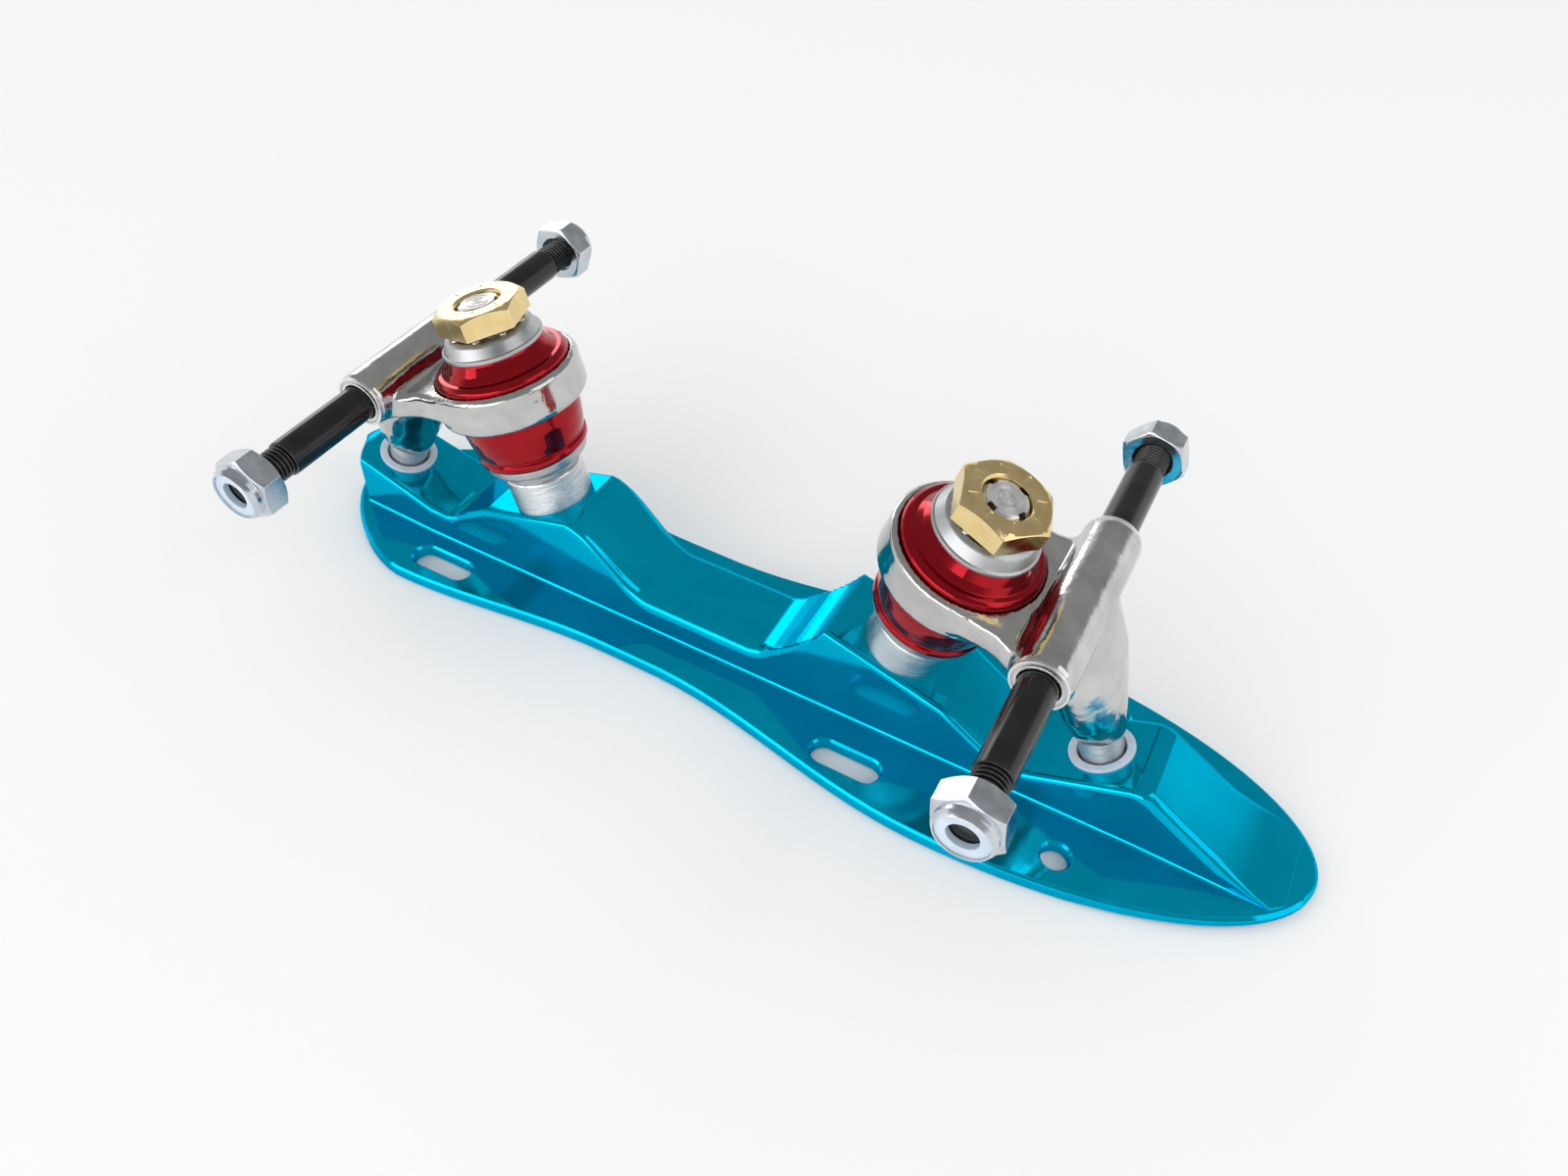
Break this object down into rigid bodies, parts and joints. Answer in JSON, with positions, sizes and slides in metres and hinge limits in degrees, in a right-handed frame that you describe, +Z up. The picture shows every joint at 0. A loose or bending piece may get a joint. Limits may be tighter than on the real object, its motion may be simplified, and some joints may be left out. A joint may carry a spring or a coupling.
{
  "type": "roller skate plate with trucks",
  "caption": "Metal sole plate for a quad roller skate, with a sprung steering truck front and rear, each on a leaning kingpin with cushions and an adjusting nut.",
  "frame": {"origin": "on the sole, midway between the heel end and the toe tip", "axes": "+X points to the toe, +Y to the skate's left as it lies here, +Z up from the sole to the trucks"},
  "size_m": [0.25, 0.1172, 0.0742],
  "materials": {
    "anodised_alloy": "polished and anodised teal",
    "polished_casting": "polished casting",
    "bright_steel": "turned and polished",
    "zinc_plate": "bright zinc plate",
    "black_steel": "black oxide, oiled",
    "brass": "satin turned",
    "red_urethane": "glossy translucent urethane",
    "nylon": "natural white nylon"
  },
  "bodies": {
    "base": {"plate": "anodised_alloy", "front_kingpin": "bright_steel", "front_lower_cup": "zinc_plate", "front_lower_cushion": "red_urethane", "front_upper_cushion": "red_urethane", "front_pivot_cup": "nylon", "rear_kingpin": "bright_steel", "rear_lower_cup": "zinc_plate", "rear_lower_cushion": "red_urethane", "rear_upper_cushion": "red_urethane", "rear_pivot_cup": "nylon"},
    "front_truck": {"front_hanger": "polished_casting", "front_pivot_pin": "bright_steel", "front_axle": "black_steel", "front_axle_nuts": "zinc_plate", "front_nut_inserts": "nylon"},
    "front_cup": {"front_upper_cup": "zinc_plate"},
    "front_nut": {"front_kingpin_nut": "brass"},
    "rear_truck": {"rear_hanger": "polished_casting", "rear_pivot_pin": "bright_steel", "rear_axle": "black_steel", "rear_axle_nuts": "zinc_plate", "rear_nut_inserts": "nylon"},
    "rear_cup": {"rear_upper_cup": "zinc_plate"},
    "rear_nut": {"rear_kingpin_nut": "brass"}
  },
  "joints": [
    {"name": "front_steer", "type": "hinge", "parent": "base", "child": "front_truck", "pos_m": [0.0758, 0, 0.0155], "axis": [-0.7129, 0, 0.7013], "range_deg": [-8, 8], "stiffness_Nm_per_rad": 12, "deforming": ["front_lower_cushion", "front_upper_cushion"]},
    {"name": "front_cup_slide", "type": "slide", "parent": "base", "child": "front_cup", "axis": [0.2874, 0, 0.9578], "range_m": [-0.0005, 0.0005], "deforming": ["front_upper_cushion"]},
    {"name": "front_nut_turn", "type": "hinge", "parent": "front_cup", "child": "front_nut", "pos_m": [0.0294, 0, 0.023], "axis": [0.2874, 0, 0.9578], "range_deg": [-180, 180]},
    {"name": "rear_steer", "type": "hinge", "parent": "base", "child": "rear_truck", "pos_m": [-0.1098, 0, 0.0155], "axis": [0.7129, 0, 0.7013], "range_deg": [-8, 8], "stiffness_Nm_per_rad": 12, "deforming": ["rear_lower_cushion", "rear_upper_cushion"]},
    {"name": "rear_cup_slide", "type": "slide", "parent": "base", "child": "rear_cup", "axis": [-0.2874, 0, 0.9578], "range_m": [-0.0005, 0.0005], "deforming": ["rear_upper_cushion"]},
    {"name": "rear_nut_turn", "type": "hinge", "parent": "rear_cup", "child": "rear_nut", "pos_m": [-0.0634, 0, 0.023], "axis": [-0.2874, 0, 0.9578], "range_deg": [-180, 180]}
  ],
  "couplings": [
    {"joint": "front_cup_slide", "follows": "front_nut_turn", "m_per_rad": 0.000159},
    {"joint": "rear_cup_slide", "follows": "rear_nut_turn", "m_per_rad": 0.000159}
  ]
}
